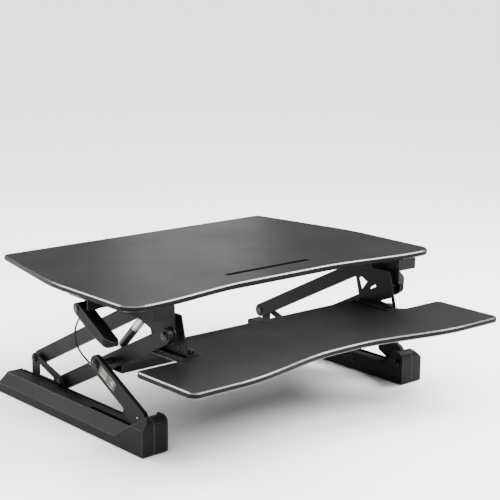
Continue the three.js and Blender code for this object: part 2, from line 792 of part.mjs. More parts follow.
function leverPin() {
  const [x0, x1] = LEVER_X;
  return turned([
    [x0 - 8, 0],
    [x0 - 8, 6.5],
    [x0 - 5.3, 6.5],
    [x0 - 5.3, SMALL_PIN_R],
    [x1 + GAP, SMALL_PIN_R],
    [x1 + GAP, 6.5],
    [x1 + 2, 6.5],
    [x1 + 2.8, 5.7],
    [x1 + 2.8, 0],
  ], LEVER_PIVOT);
}

// The release cable's route on the left side, from the lever's bracket to the lower arm.
const RELEASE_ROUTE = [
  [410, 22, 270], [409, 36, 262], [408, 52, 253], [406, 67, 241], [403, 80, 227],
  [400, 90, 212], [396, 97, 196], [391, 101, 180], [385, 101, 165], [378, 98, 151],
  [370, 94, 139], [362, 91, 129], [355, 90, 122],
];

// The crossover cable's route under the desktop, from the right lever to the left one.
const CROSSOVER_ROUTE = [
  [408, 24, 300], [394, 23, 304], [378, 21, 307], [360, 17, 309], [340, 13, 309.5],
  [300, 8, 309.5], [240, 5, 309.5], [150, 4, 309.5], [0, 4, 309.5], [-150, 4, 309.5],
  [-240, 5, 309.5], [-300, 8, 309.5], [-340, 13, 309.5], [-360, 17, 309], [-378, 21, 307],
  [-394, 23, 304], [-408, 24, 300],
];
const CABLE_R = 2;
const CLIP_X = 200;

function cable(route, steps) {
  const section = new THREE.Shape();
  section.absarc(0, 0, CABLE_R, 0, 2 * Math.PI, false);
  return new THREE.ExtrudeGeometry(section, {
    steps,
    curveSegments: 4,
    bevelEnabled: false,
    extrudePath: new THREE.CatmullRomCurve3(route.map((p) => new THREE.Vector3(...p))),
  });
}

// A saddle clip that holds the crossover cable up to the desktop.
function cableClip() {
  const [, y, z] = CROSSOVER_ROUTE[8];
  const top = TOP_Z - BOARD_THICKNESS - GAP;
  const reach = CABLE_R + 2.4;
  const shape = new THREE.Shape();
  shape.moveTo(y - 12, top);
  shape.lineTo(y - 12, top - 2);
  shape.lineTo(y - reach, top - 2);
  shape.absarc(y, z, reach, Math.PI, 2 * Math.PI, false);
  shape.lineTo(y + reach, top - 2);
  shape.lineTo(y + 12, top - 2);
  shape.lineTo(y + 12, top);
  shape.lineTo(y + CABLE_R + 0.7, top);
  shape.absarc(y, z, CABLE_R + 0.7, 0, Math.PI, true);
  shape.lineTo(y - CABLE_R - 0.7, top);
  return sweepX(shape, [CLIP_X - 6, CLIP_X + 6]);
}

// ---------------------------------------------------------------- assembly

function addSide(suffix, hand) {
  const add = (name, geometry, finish) => addPiece(`${name}_${suffix}`, hand(geometry), finish);
  const armHoles = [A, B, M].map((centre) => [centre, PIN_HOLE_R]);
  if (suffix === 'left') armHoles.push([SPRING_FOOT, SMALL_HOLE_R]);

  add('foot_rail', footRail(), 'powder_coat');
  add('foot_cover', footCover(), 'moulded_plastic');
  add('foot_front_cap', sweepX(frontStrip(), [RAIL_X[0] + SHEET + GAP, CAP_SEAM_X - CAP_SEAM_GAP]),
    'moulded_plastic');
  footPads().forEach((pad, i) => add(`foot_pad_${['front', 'rear'][i]}`, pad, 'rubber'));
  add('strut_pin', turned([
    [RAIL_X[0] - 3, 0],
    [RAIL_X[0] - 3, HEAD_R - 1],
    [RAIL_X[0] - 2, HEAD_R],
    [RAIL_X[0] - GAP, HEAD_R],
    [RAIL_X[0] - GAP, PIN_R],
    [STRUT_X[1] + 1.5, PIN_R],
    [STRUT_X[1] + 1.5, 0],
  ], O), 'dark_steel');
  add('strut', strut(), 'powder_coat');

  add('lower_arm', sweepX(armShape(A, B, armHoles), ARM_X), 'powder_coat');
  add('middle_pin', middlePin(), 'dark_steel');
  add('upper_arm', sweepX(armShape(A2, B2, [[A2, PIN_HOLE_R], [B2, PIN_HOLE_R]]), ARM_X),
    'powder_coat');

  add('carriage', carriage(), 'powder_coat');
  add('glide_block', glideBlock(), 'nylon');
  add('lower_rear_pin', carriagePin(A), 'dark_steel');
  add('upper_rear_pin', carriagePin(A2), 'dark_steel');

  add('top_bracket', topBracket(), 'powder_coat');
  const frontPin = (centre) => headedPin([INNER_WALL_X[0], ARM_X[1] + GAP], PIN_R, HEAD_R, 2.5, centre);
  add('lower_front_pin', frontPin(B), 'dark_steel');
  add('upper_front_pin', frontPin(B2), 'dark_steel');
  add('tray_hanger', trayHanger(), 'powder_coat');
  add('tray_knob', trayKnob(), 'lever_plastic');

  add('lever_bracket', leverBracket(), 'powder_coat');
  add('release_lever', releaseLever(), 'lever_plastic');
  add('lever_pin', leverPin(), 'dark_steel');
  add('cable_clip', cableClip(), 'lever_plastic');
}

// One lockable gas spring, on the left, with its release cable.
function addSpring() {
  const add = (name, geometry, finish) => addPiece(name, mirrored(geometry), finish);
  const armFace = ARM_X[1] + 1;
  add('gas_cylinder', gasCylinder(), 'dark_steel');
  add('gas_rod', gasRod(), 'zinc_steel');
  add('gas_upper_pin', turned([
    [315.2, 0], [315.2, SMALL_PIN_R], [339, SMALL_PIN_R], [339, 0],
  ], SPRING_TOP), 'zinc_steel');
  add('gas_lower_pin', turned([
    [315.2, 0], [315.2, 6.5], [318, 6.5], [318, SMALL_PIN_R], [armFace, SMALL_PIN_R], [armFace, 0],
  ], SPRING_FOOT), 'zinc_steel');
  add('release_cable', cable(RELEASE_ROUTE, 34), 'rubber');
}

addBoards();
addPiece('cross_tube', crossTube(), 'powder_coat');
addPiece('cross_rail_front', crossRail(-112, -92), 'powder_coat');
addPiece('cross_rail_rear', crossRail(-62, BRACKET_REAR_Y), 'powder_coat');
addSide('right', (geometry) => geometry);
addSide('left', mirrored);
addSpring();
addPiece('crossover_cable', cable(CROSSOVER_ROUTE, 60), 'rubber');

export default converter;
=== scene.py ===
"""The standing desk converter's looks: camera, light, finishes and fine pieces on the CAD frame."""
import json
import math

import bmesh
import bpy
from mathutils import Matrix, Vector


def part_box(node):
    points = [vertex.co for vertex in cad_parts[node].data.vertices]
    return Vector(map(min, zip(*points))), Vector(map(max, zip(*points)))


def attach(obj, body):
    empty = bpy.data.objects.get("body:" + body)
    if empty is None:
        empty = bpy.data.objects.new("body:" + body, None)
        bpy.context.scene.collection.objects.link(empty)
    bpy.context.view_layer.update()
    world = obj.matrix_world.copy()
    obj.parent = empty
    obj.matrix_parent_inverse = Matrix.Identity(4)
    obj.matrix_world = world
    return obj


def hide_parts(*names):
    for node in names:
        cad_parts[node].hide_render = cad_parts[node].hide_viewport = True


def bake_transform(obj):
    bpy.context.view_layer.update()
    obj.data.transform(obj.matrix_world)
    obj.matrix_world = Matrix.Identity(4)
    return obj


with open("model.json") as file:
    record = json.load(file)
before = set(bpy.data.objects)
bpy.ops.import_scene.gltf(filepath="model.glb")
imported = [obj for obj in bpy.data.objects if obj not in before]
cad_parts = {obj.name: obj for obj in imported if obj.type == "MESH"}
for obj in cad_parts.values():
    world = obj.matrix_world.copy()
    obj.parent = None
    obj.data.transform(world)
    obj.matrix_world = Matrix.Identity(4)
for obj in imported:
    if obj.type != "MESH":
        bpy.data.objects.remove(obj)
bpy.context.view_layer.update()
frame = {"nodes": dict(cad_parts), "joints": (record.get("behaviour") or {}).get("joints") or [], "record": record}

MM = 0.001
SIDES = {"left": -1, "right": 1}

# ---------------------------------------------------------------- camera and stage

# Solved from the outlines of the two boards in the photo, in metres and degrees.
CAMERA_PLACE = (-2.0056, -2.3528, 1.0351)
CAMERA_YAW = 40.82
CAMERA_PITCH = -12.44
CAMERA_ROLL = 0.584
CAMERA_LENS = 98.7
SENSOR_WIDTH = 36


def add_camera():
    yaw = math.radians(CAMERA_YAW)
    pitch = math.radians(CAMERA_PITCH)
    roll = math.radians(CAMERA_ROLL)
    forward = Vector((
        math.sin(yaw) * math.cos(pitch),
        math.cos(yaw) * math.cos(pitch),
        math.sin(pitch),
    ))
    level_right = forward.cross(Vector((0, 0, 1))).normalized()
    level_up = level_right.cross(forward)
    right = level_right * math.cos(roll) + level_up * math.sin(roll)
    up = level_up * math.cos(roll) - level_right * math.sin(roll)
    camera = bpy.data.objects.new("camera", bpy.data.cameras.new("camera"))
    camera.data.lens = CAMERA_LENS
    camera.data.sensor_width = SENSOR_WIDTH
    camera.data.clip_end = 60
    bpy.context.scene.collection.objects.link(camera)
    columns = Matrix((right, up, -forward)).transposed()
    camera.matrix_world = Matrix.Translation(CAMERA_PLACE) @ columns.to_4x4()
    bpy.context.scene.camera = camera


# Soft boxes: the front one lights the faces towards the camera, the right and rear ones the
# chamfers, and the low one gives the desktop's sheen. Name, place, size in metres, watts.
LIGHTS = [
    ("right_box", (1.9, -0.7, 2.4), (1.3, 1.3), 130),
    ("rear_box", (-1.0, 2.1, 2.15), (1.3, 1.1), 75),
    ("front_box", (0.6, -2.5, 2.6), (2.0, 1.6), 230),
    ("low_box", (1.55, 2.15, 0.98), (0.6, 0.35), 1.6),
]
LIGHT_AIM = (0, 0, 0.25)

WORLD_STRENGTH = 4.4
BACKDROP_STRENGTH = 2.2

FLOOR_HALF = 30
FLOOR_DROP = 0.0004  # keeps the floor clear of the rubber pads' undersides


def add_area_light(name, place, aim, size, watts):
    light = bpy.data.objects.new(name, bpy.data.lights.new(name, "AREA"))
    light.data.shape = "RECTANGLE"
    light.data.size = size[0]
    light.data.size_y = size[1]
    light.data.energy = watts
    bpy.context.scene.collection.objects.link(light)
    light.location = place
    light.rotation_euler = (Vector(aim) - Vector(place)).to_track_quat("-Z", "Y").to_euler()


def add_world():
    """A sky from dark below to bright above lights the object; the camera sees a plain backdrop."""
    world = bpy.data.worlds.new("studio")
    world.use_nodes = True
    nodes = world.node_tree.nodes
    links = world.node_tree.links
    nodes.clear()
    output = nodes.new("ShaderNodeOutputWorld")
    background = nodes.new("ShaderNodeBackground")
    where = nodes.new("ShaderNodeTexCoord")
    split = nodes.new("ShaderNodeSeparateXYZ")
    ramp = nodes.new("ShaderNodeValToRGB")
    ramp.color_ramp.elements[0].position = 0.30
    ramp.color_ramp.elements[0].color = (0.012, 0.012, 0.0123, 1)
    ramp.color_ramp.elements[1].position = 0.95
    ramp.color_ramp.elements[1].color = (1.0, 1.0, 1.0, 1)
    links.new(where.outputs["Generated"], split.inputs[0])
    links.new(split.outputs["Z"], ramp.inputs[0])
    links.new(ramp.outputs[0], background.inputs["Color"])
    background.inputs["Strength"].default_value = WORLD_STRENGTH
    backdrop = nodes.new("ShaderNodeBackground")
    backdrop.inputs["Color"].default_value = (1, 1, 1, 1)
    backdrop.inputs["Strength"].default_value = BACKDROP_STRENGTH
    seen = nodes.new("ShaderNodeLightPath")
    choose = nodes.new("ShaderNodeMixShader")
    links.new(seen.outputs["Is Camera Ray"], choose.inputs[0])
    links.new(background.outputs[0], choose.inputs[1])
    links.new(backdrop.outputs[0], choose.inputs[2])
    links.new(choose.outputs[0], output.inputs[0])
    bpy.context.scene.world = world


def add_stage():
    mesh = bpy.data.meshes.new("floor")
    mesh.from_pydata(
        [
            (-FLOOR_HALF, -FLOOR_HALF, 0), (FLOOR_HALF, -FLOOR_HALF, 0),
            (FLOOR_HALF, FLOOR_HALF, 0), (-FLOOR_HALF, FLOOR_HALF, 0),
        ],
        [], [(0, 1, 2, 3)],
    )
    floor = bpy.data.objects.new("floor", mesh)
    floor.location.z = -FLOOR_DROP
    bpy.context.scene.collection.objects.link(floor)
    material = bpy.data.materials.new("floor")
    material.use_nodes = True
    shader = material.node_tree.nodes["Principled BSDF"]
    shader.inputs["Base Color"].default_value = (0.93, 0.93, 0.93, 1)
    shader.inputs["Roughness"].default_value = 0.9
    shader.inputs["Specular IOR Level"].default_value = 0.1
    mesh.materials.append(material)
    add_world()
    for name, place, size, watts in LIGHTS:
        add_area_light(name, place, LIGHT_AIM, size, watts)


# ---------------------------------------------------------------- finishes

class Finish:
    """A node material: base colour, roughness and bump, each with detail at its own scale."""

    def __init__(self, name, color, roughness, metallic=0.0, specular=0.5):
        self.material = bpy.data.materials.new(name)
        self.material.use_nodes = True
        self.tree = self.material.node_tree
        self.shader = self.tree.nodes["Principled BSDF"]
        self.shader.inputs["Base Color"].default_value = (*color, 1)
        self.shader.inputs["Roughness"].default_value = roughness
        self.shader.inputs["Metallic"].default_value = metallic
        self.shader.inputs["Specular IOR Level"].default_value = specular
        self.where = self.node("ShaderNodeTexCoord").outputs["Object"]
        self.normal = None

    def node(self, kind):
        return self.tree.nodes.new(kind)

    def link(self, source, target):
        self.tree.links.new(source, target)

    def stretched(self, scale):
        mapping = self.node("ShaderNodeMapping")
        mapping.inputs["Scale"].default_value = scale
        self.link(self.where, mapping.inputs["Vector"])
        return mapping.outputs["Vector"]

    def noise(self, scale, detail=3, where=None, roughness=0.55):
        noise = self.node("ShaderNodeTexNoise")
        noise.inputs["Scale"].default_value = scale
        noise.inputs["Detail"].default_value = detail
        noise.inputs["Roughness"].default_value = roughness
        self.link(where or self.where, noise.inputs["Vector"])
        return noise.outputs["Fac"]

    def cells(self, scale):
        cells = self.node("ShaderNodeTexVoronoi")
        cells.inputs["Scale"].default_value = scale
        self.link(self.where, cells.inputs["Vector"])
        return cells.outputs["Distance"]

    def remap(self, value, low, high, source_low=0.3, source_high=0.7):
        remap = self.node("ShaderNodeMapRange")
        remap.inputs["From Min"].default_value = source_low
        remap.inputs["From Max"].default_value = source_high
        remap.inputs["To Min"].default_value = low
        remap.inputs["To Max"].default_value = high
        self.link(value, remap.inputs["Value"])
        return remap.outputs["Result"]

    def vary_roughness(self, value, low, high):
        self.link(self.remap(value, low, high), self.shader.inputs["Roughness"])

    def vary_color(self, value, dark, light):
        # Inputs 6 to 10 are the vector ones: value, from min, from max, to min, to max.
        ramp = self.node("ShaderNodeMapRange")
        ramp.data_type = "FLOAT_VECTOR"
        ramp.inputs[7].default_value = (0.3, 0.3, 0.3)
        ramp.inputs[8].default_value = (0.7, 0.7, 0.7)
        ramp.inputs[9].default_value = dark
        ramp.inputs[10].default_value = light
        self.link(value, ramp.inputs[6])
        self.link(ramp.outputs[1], self.shader.inputs["Base Color"])

    def soften_edges(self, millimetres, edge_highlight_color):
        """Rounds the shading at edges, and paints them lighter there as a painted highlight, over the base colour
        so far.
        """
        rounded = self.node("ShaderNodeBevel")
        rounded.samples = 4
        rounded.inputs["Radius"].default_value = millimetres * MM
        flat = self.node("ShaderNodeNewGeometry")
        agree = self.node("ShaderNodeVectorMath")
        agree.operation = "DOT_PRODUCT"
        self.link(rounded.outputs["Normal"], agree.inputs[0])
        self.link(flat.outputs["Normal"], agree.inputs[1])
        edge_highlight_mask = self.remap(
            agree.outputs["Value"], low=0.9, high=0.0, source_low=0.92, source_high=0.995,
        )
        # Inputs 6 and 7 and output 2 of a mix node are its colours.
        # The mix paints the edges lighter: a painted highlight, not wear.
        mix = self.node("ShaderNodeMix")
        mix.data_type = "RGBA"
        self.link(edge_highlight_mask, mix.inputs["Factor"])
        self.link(self.shader.inputs["Base Color"].links[0].from_socket, mix.inputs[6])
        mix.inputs[7].default_value = (*edge_highlight_color, 1)
        self.link(mix.outputs[2], self.shader.inputs["Base Color"])
        self.normal = rounded.outputs["Normal"]

    def bump(self, value, millimetres, strength=1.0):
        bump = self.node("ShaderNodeBump")
        bump.inputs["Strength"].default_value = strength
        bump.inputs["Distance"].default_value = millimetres * MM
        self.link(value, bump.inputs["Height"])
        if self.normal is not None:
            self.link(self.normal, bump.inputs["Normal"])
        self.normal = bump.outputs["Normal"]
        self.link(self.normal, self.shader.inputs["Normal"])


def laminate(name, color, light, roughness, specular):
    """Black melamine laminate: short flecks along X over a fine pore, with a soft sheen."""
    finish = Finish(name, color, roughness, specular=specular)
    flecks = finish.noise(1.0, detail=4, where=finish.stretched((60, 900, 900)), roughness=0.7)
    pores = finish.noise(2600, detail=2)
    handling = finish.noise(5, detail=4)
    finish.vary_color(flecks, color, light)
    finish.vary_roughness(handling, roughness - 0.035, roughness + 0.045)
    finish.bump(pores, 0.035, 0.5)
    finish.bump(flecks, 0.05, 0.5)
    return finish.material


def powder_coat(name, color, light, roughness, specular=0.08):
    """Satin black powder coat: orange peel about 1 mm across, with a finer grit on it."""
    finish = Finish(name, color, roughness, specular=specular)
    peel = finish.noise(950, detail=2)
    grit = finish.noise(3800, detail=2)
    clouds = finish.noise(14, detail=5)
    finish.vary_color(clouds, color, light)
    finish.vary_roughness(clouds, roughness - 0.05, roughness + 0.07)
    # The lighter colour on the edges is a painted highlight.
    finish.soften_edges(0.8, (0.035, 0.036, 0.037))
    finish.bump(peel, 0.06, 0.45)
    finish.bump(grit, 0.02, 0.35)
    return finish.material


def moulded(name, color, light, roughness, specular=0.08):
    """Moulded plastic with a spark-eroded texture and slight flow marks."""
    finish = Finish(name, color, roughness, specular=specular)
    spark = finish.cells(1500)
    flow = finish.noise(9, detail=4)
    finish.vary_color(flow, color, light)
    finish.vary_roughness(flow, roughness - 0.04, roughness + 0.06)
    # The lighter colour on the edges is a painted highlight.
    finish.soften_edges(2.4, (0.090, 0.092, 0.095))
    finish.bump(spark, 0.05, 0.45)
    return finish.material


def metal(name, color, light, roughness):
    """Plated steel: turned marks round X and a faint stain."""
    finish = Finish(name, color, roughness, metallic=1.0)
    marks = finish.noise(1.0, detail=3, where=finish.stretched((2600, 160, 160)))
    stain = finish.noise(55, detail=4)
    finish.vary_color(stain, color, light)
    finish.vary_roughness(marks, roughness - 0.08, roughness + 0.12)
    finish.bump(marks, 0.01, 0.4)
    return finish.material


def rubber(name, color, light, roughness, specular=0.1):
    finish = Finish(name, color, roughness, specular=specular)
    dust = finish.noise(240, detail=5)
    finish.vary_color(dust, color, light)
    finish.vary_roughness(dust, roughness - 0.08, roughness + 0.05)
    finish.bump(finish.cells(900), 0.05, 0.4)
    return finish.material


def printed(name, color, light, roughness, metallic):
    """A plain printed sticker: film with faint ink mottle and a slight crinkle."""
    finish = Finish(name, color, roughness, metallic=metallic)
    mottle = finish.noise(420, detail=4)
    crinkle = finish.noise(60, detail=3)
    finish.vary_color(mottle, color, light)
    finish.vary_roughness(crinkle, roughness - 0.06, roughness + 0.08)
    finish.bump(crinkle, 0.05, 0.3)
    return finish.material


def make_finishes():
    # Each slot holds the main finish and an edge variant for rounds and chamfers; most edge variants are lighter,
    # a painted highlight. The board has a third, duller one for its upright sides.
    return {
        "laminate_board": (
            laminate("laminate", (0.0022, 0.0023, 0.0026), (0.0055, 0.0057, 0.0062), 0.36, 0.22),
            laminate("laminate_edge_highlight", (0.018, 0.0185, 0.0195), (0.032, 0.033, 0.034), 0.22, 0.70),
            laminate("laminate_side", (0.0030, 0.0031, 0.0034), (0.0060, 0.0062, 0.0066), 0.42, 0.06),
        ),
        "powder_coat": (
            powder_coat("powder_coat", (0.0045, 0.0047, 0.0051), (0.0075, 0.0078, 0.0083), 0.42),
            powder_coat("powder_coat_edge_highlight", (0.020, 0.021, 0.022), (0.036, 0.037, 0.038), 0.34, 0.5),
        ),
        "moulded_plastic": (
            moulded("moulded_plastic", (0.0065, 0.0068, 0.0072), (0.0095, 0.0098, 0.0103), 0.48),
            moulded("moulded_plastic_edge_highlight", (0.045, 0.046, 0.048), (0.070, 0.071, 0.073), 0.32, 0.6),
        ),
        "lever_plastic": (
            moulded("lever_plastic", (0.0030, 0.0030, 0.0033), (0.0048, 0.0048, 0.0052), 0.42),
            moulded("lever_plastic_edge_highlight", (0.008, 0.008, 0.009), (0.012, 0.012, 0.013), 0.34, 0.3),
        ),
        "zinc_steel": (
            metal("zinc_steel", (0.36, 0.37, 0.39), (0.50, 0.51, 0.53), 0.32),
            metal("zinc_steel_edge_highlight", (0.60, 0.61, 0.62), (0.70, 0.71, 0.72), 0.26),
        ),
        "dark_steel": (
            powder_coat("dark_steel", (0.008, 0.008, 0.0085), (0.012, 0.012, 0.0125), 0.28, 0.3),
            powder_coat("dark_steel_edge_highlight", (0.030, 0.030, 0.031), (0.045, 0.045, 0.046), 0.24, 0.6),
        ),
        "bolt": (
            metal("bolt", (0.016, 0.016, 0.017), (0.030, 0.030, 0.031), 0.28),
            metal("bolt_edge_highlight", (0.14, 0.14, 0.145), (0.20, 0.20, 0.205), 0.24),
        ),
        "chrome": (
            metal("chrome", (0.62, 0.63, 0.65), (0.72, 0.73, 0.75), 0.12),
            metal("chrome_edge_highlight", (0.70, 0.71, 0.72), (0.76, 0.77, 0.78), 0.12),
        ),
        "silver_label": (
            printed("silver_label", (0.50, 0.51, 0.52), (0.60, 0.61, 0.62), 0.34, 0.6),
            printed("silver_label_edge", (0.50, 0.51, 0.52), (0.60, 0.61, 0.62), 0.34, 0.6),
        ),
        "dark_label": (
            printed("dark_label", (0.006, 0.006, 0.006), (0.009, 0.009, 0.009), 0.30, 0.0),
            printed("dark_label_edge", (0.010, 0.010, 0.010), (0.014, 0.014, 0.014), 0.30, 0.0),
        ),
        "pale_print": (
            printed("pale_print", (0.20, 0.20, 0.19), (0.26, 0.26, 0.25), 0.38, 0.0),
            printed("pale_print_edge", (0.20, 0.20, 0.19), (0.26, 0.26, 0.25), 0.38, 0.0),
        ),
        "yellow_print": (
            printed("yellow_print", (0.34, 0.22, 0.010), (0.42, 0.28, 0.015), 0.36, 0.0),
            printed("yellow_print_edge", (0.34, 0.22, 0.010), (0.42, 0.28, 0.015), 0.36, 0.0),
        ),
        "nylon": (
            moulded("nylon", (0.50, 0.50, 0.46), (0.58, 0.58, 0.54), 0.45),
            moulded("nylon_edge_highlight", (0.60, 0.60, 0.56), (0.68, 0.68, 0.64), 0.40),
        ),
        "rubber": (
            rubber("rubber", (0.010, 0.010, 0.010), (0.018, 0.018, 0.0175), 0.78),
            rubber("rubber_edge_highlight", (0.020, 0.020, 0.020), (0.030, 0.030, 0.029), 0.72),
        ),
        "cable_jacket": (
            rubber("cable_jacket", (0.008, 0.008, 0.0085), (0.013, 0.013, 0.013), 0.48),
            rubber("cable_jacket_edge_highlight", (0.014, 0.014, 0.014), (0.020, 0.020, 0.020), 0.45),
        ),
    }


# ---------------------------------------------------------------- CAD nodes that stay

SMOOTH_DEGREES = 32

BEVEL_MM = {
    "laminate_board": 0.7,
    "powder_coat": 0.7,
    "moulded_plastic": 1.6,
    "lever_plastic": 1.5,
    "zinc_steel": 0.35,
    "dark_steel": 0.4,
    "nylon": 0.8,
    "rubber": 0.4,
    "cable_jacket": 0.0,
}

# Pieces with a crease shallower than the rest that is still rounded, in degrees.
SOFT_CREASES = {"foot_cover": 18}


def round_edges(obj, millimetres, degrees=SMOOTH_DEGREES):
    """Rounds the sharp edges; the rounds take the lighter edge variant of the finish, a painted highlight."""
    if millimetres:
        bevel = obj.modifiers.new("rounds", "BEVEL")
        bevel.width = millimetres * MM
        bevel.segments = 3
        bevel.limit_method = "ANGLE"
        bevel.angle_limit = math.radians(degrees)
        bevel.use_clamp_overlap = True
        # Slot 1 is the lighter edge variant: a painted highlight on the rounds.
        bevel.material = 1
        bevel.harden_normals = True
    for polygon in obj.data.polygons:
        polygon.use_smooth = True


def finish_board_edges(mesh):
    """Gives a board's chamfers the lighter edge variant of its finish, a painted highlight, and its upright sides
    the duller one.
    """
    for polygon in mesh.polygons:
        if abs(polygon.normal.z) < 0.3:
            polygon.material_index = 2
        elif abs(polygon.normal.z) < 0.95:
            polygon.material_index = 1


def finish_cad_nodes(finishes):
    for entry in frame["record"]["subparts"]:
        obj = frame["nodes"][entry["node"]]
        slot = entry["material_slot"]
        obj.data.materials.clear()
        for material in finishes[slot]:
            obj.data.materials.append(material)
        if slot == "laminate_board":
            finish_board_edges(obj.data)
        degrees = SOFT_CREASES.get(entry["node"].rsplit("_", 1)[0], SMOOTH_DEGREES)
        obj.data.set_sharp_from_angle(angle=math.radians(degrees))
        round_edges(obj, BEVEL_MM[slot], degrees)


# ---------------------------------------------------------------- mesh helpers

def new_piece(
    name, bm, slot, body, finishes, side=1, stands_for=(), rounds=0.0, smooth=SMOOTH_DEGREES,
):
    """Makes a piece from bm, which was made for the right side, and lets it ride on a body."""
    if side < 0:
        bmesh.ops.scale(bm, vec=(-1, 1, 1), verts=bm.verts)
        bmesh.ops.reverse_faces(bm, faces=bm.faces)
    bmesh.ops.recalc_face_normals(bm, faces=bm.faces)
    mesh = bpy.data.meshes.new(name)
    bm.to_mesh(mesh)
    bm.free()
    obj = bpy.data.objects.new(name, mesh)
    bpy.context.scene.collection.objects.link(obj)
    for material in finishes[slot]:
        mesh.materials.append(material)
    mesh.set_sharp_from_angle(angle=math.radians(smooth))
    round_edges(obj, rounds)
    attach(obj, body)
    if stands_for:
        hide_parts(*stands_for)
    return obj


def bridge(bm, first, second):
    count = len(first)
    for i in range(count):
        j = (i + 1) % count
        bm.faces.new((first[i], first[j], second[j], second[i]))


def ring(bm, x, radius, segments, corners=0):
    """A ring round the X axis. With corners, it is a polygon of that many sides."""
    verts = []
    for i in range(segments):
        angle = 2 * math.pi * i / segments
        reach = radius
        if corners:
            half = math.pi / corners
            reach = radius * math.cos(half) / math.cos((angle % (2 * half)) - half)
        verts.append(bm.verts.new((x, reach * math.cos(angle), reach * math.sin(angle))))
    return verts


def turned(profile, segments=32, sleeve=False):
    """A solid of revolution about X from (x, radius) or (x, radius, corners) points, in millimetres.

    A sleeve is open along its axis: its last ring joins its first.
    """
    bm = bmesh.new()
    rings = [
        ring(bm, point[0] * MM, point[1] * MM, segments, point[2] if len(point) > 2 else 0)
        for point in profile
    ]
    for first, second in zip(rings, rings[1:]):
        bridge(bm, first, second)
    if sleeve:
        bridge(bm, rings[-1], rings[0])
    else:
        bm.faces.new(rings[0])
        bm.faces.new(list(reversed(rings[-1])))
    return bm


def place(bm, matrix):
    bmesh.ops.transform(bm, matrix=matrix, verts=bm.verts)
    return bm


def extruded(outline, x0, x1):
    """A side view (y, z) between two planes across X, in metres."""
    bm = bmesh.new()
    near = [bm.verts.new((x0, y, z)) for y, z in outline]
    far = [bm.verts.new((x1, y, z)) for y, z in outline]
    bridge(bm, near, far)
    bm.faces.new(near)
    bm.faces.new(list(reversed(far)))
    return bm


def bar_outline(p, q, rp, rq, steps=14):
    """Outline of a bar with round ends at p and q, in a side view."""
    run = Vector((q[0] - p[0], q[1] - p[1]))
    heading = math.atan2(run.y, run.x)
    lean = math.acos((rp - rq) / run.length)
    outline = []
    for centre, radius, first, last in (
        (p, rp, heading + lean, heading + 2 * math.pi - lean),
        (q, rq, heading - lean, heading + lean),
    ):
        for i in range(steps + 1):
            angle = first + (last - first) * i / steps
            outline.append((
                centre[0] + radius * math.cos(angle),
                centre[1] + radius * math.sin(angle),
            ))
    return outline


def middle(node):
    low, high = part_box(node)
    return (low + high) / 2


def pivot(joint):
    return Vector(next(j["pos_m"] for j in frame["joints"] if j["name"] == joint))


# ---------------------------------------------------------------- bolts

# Turns for a piece made along +X.
UPWARD = Matrix.Rotation(-math.pi / 2, 4, "Y")
DOWNWARD = Matrix.Rotation(math.pi / 2, 4, "Y")
INWARD = Matrix.Rotation(math.pi, 4, "Z")

# How far a head reaches over the CAD pin's own head, in millimetres.
HEAD_SINK = 2.2
STRUT_HEAD_SINK = 1.6

# Places of the screws, in metres.
FLANGE = 0.003
TRAY_SCREW_INSET = 0.013
TRAY_SCREW_Y = (0.060, 0.104)
LEVER_SCREWS = ((0.008, 0.055), (0.036, 0.055))
RAIL_SCREW_X = (-0.24, -0.08, 0.08, 0.24)
FOOT_BOLTS = ((-0.020, 0.024), (0.180, 0.024), (0.350, 0.024))


def socket_head(radius, height, socket=0.46, washer=1.28):
    """A button head with a hexagon socket on a thin washer, seated at x = 0, in millimetres."""
    return turned([
        (0.0, radius * washer),
        (0.7, radius * washer),
        (0.9, radius * (washer - 0.04)),
        (0.95, radius),
        (height * 0.55, radius),
        (height * 0.80, radius * 0.90),
        (height * 0.95, radius * 0.70),
        (height, radius * (socket + 0.06)),
        (height, radius * socket, 6),
        (height - min(1.8, height * 0.55), radius * socket, 6),
    ], segments=36)


def hexagon_nut(radius, height):
    """A nut seated at x = 0, with its thread end showing."""
    return turned([
        (0.0, radius * 1.15),
        (0.8, radius * 1.15),
        (0.85, radius, 6),
        (height - 0.8, radius, 6),
        (height, radius * 0.86),
        (height, radius * 0.52),
        (height + 1.4, radius * 0.50),
        (height + 1.8, radius * 0.42),
    ], segments=36)


def add_pivot_bolts(finishes):
    """Each pivot's outer head, the strut pin's inner head and the lower front pin's inner nut."""
    heads = [
        ("middle_pin", "lower_arms", 8.0, 3.6),
        ("lower_rear_pin", "carriage_{side}", 7.6, 3.4),
        ("upper_rear_pin", "carriage_{side}", 7.6, 3.4),
        ("lower_front_pin", "top_frame", 8.2, 3.2),
        ("upper_front_pin", "top_frame", 8.2, 3.2),
        ("lever_pin", "top_frame", 6.6, 2.1),
    ]
    for side, sign in SIDES.items():
        for node, body, radius, height in heads:
            low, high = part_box(f"{node}_{side}")
            seat = max(abs(low.x), abs(high.x)) - HEAD_SINK * MM
            centre = (low + high) / 2
            bm = place(socket_head(radius, height), Matrix.Translation((seat, centre.y, centre.z)))
            new_piece(f"{node}_head_{side}", bm, "bolt", body.format(side=side), finishes, sign)
        centre = middle(f"strut_pin_{side}")
        inner = min(abs(corner.x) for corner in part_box(f"strut_pin_{side}")) + STRUT_HEAD_SINK * MM
        bm = place(socket_head(7.6, 3.4), Matrix.Translation((inner, centre.y, centre.z)) @ INWARD)
        new_piece(f"strut_pin_head_{side}", bm, "bolt", "base", finishes, sign)
        plate = min(abs(corner.x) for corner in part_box(f"top_bracket_{side}"))
        centre = middle(f"lower_front_pin_{side}")
        spot = (plate, centre.y, centre.z)
        bm = place(hexagon_nut(7.5, 5.5), Matrix.Translation(spot) @ INWARD)
        new_piece(f"lower_front_pin_nut_{side}", bm, "bolt", "top_frame", finishes, sign)


